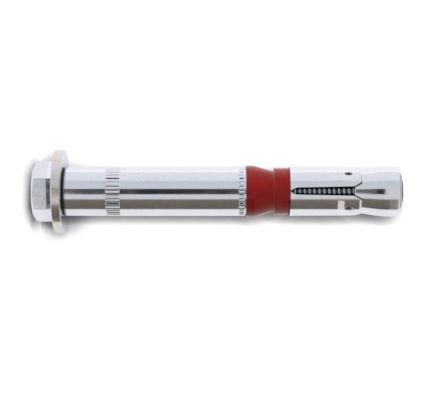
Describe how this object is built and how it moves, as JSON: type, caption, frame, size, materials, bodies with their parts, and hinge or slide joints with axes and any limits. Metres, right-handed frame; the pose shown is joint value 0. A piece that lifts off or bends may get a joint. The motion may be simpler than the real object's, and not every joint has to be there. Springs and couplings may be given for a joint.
{
  "type": "sleeve anchor",
  "caption": "Heavy-duty sleeve anchor: hex bolt and washer, knurled spacer sleeve, red collapsible plastic sleeve, slotted expansion sleeve and expander cone.",
  "frame": {"origin": "centre of the hex head's top face, on which the anchor stands", "axes": "+Z along the bolt, from the head towards the expander cone; the washer's face that clamps the fixture looks along +Z at z 0.0108, round the spacer sleeve that stands on it; -Y points at the slot of the expansion sleeve that faces the picture's camera"},
  "size_m": [0.03, 0.03, 0.1315],
  "materials": {
    "bolt_steel": "zinc plated, forged head, satin gloss",
    "washer_steel": "zinc plated, stamped, satin gloss",
    "sleeve_steel": "zinc plated, bright and smooth",
    "red_plastic": "moulded, semi-gloss",
    "expansion_steel": "zinc plated, bright and smooth",
    "cone_steel": "zinc plated, fine turning marks at the end"
  },
  "bodies": {
    "sleeves": {"washer": "washer_steel", "spacer_sleeve": "sleeve_steel", "collapsible_sleeve": "red_plastic", "expansion_sleeve": "expansion_steel"},
    "bolt": {"hex_bolt": "bolt_steel"},
    "cone": {"expander_cone": "cone_steel"}
  },
  "joints": [
    {"name": "bolt_turn", "type": "hinge", "parent": "sleeves", "child": "bolt", "pos_m": [0, 0, 0.00375], "axis": [0, 0, -1], "range_deg": [-180, 2880]},
    {"name": "cone_travel", "type": "slide", "parent": "sleeves", "child": "cone", "axis": [0, 0, 1], "range_m": [-0.00088, 0.0141]}
  ],
  "couplings": [
    {"joint": "cone_travel", "follows": "bolt_turn", "m_per_rad": 0.00027852}
  ]
}
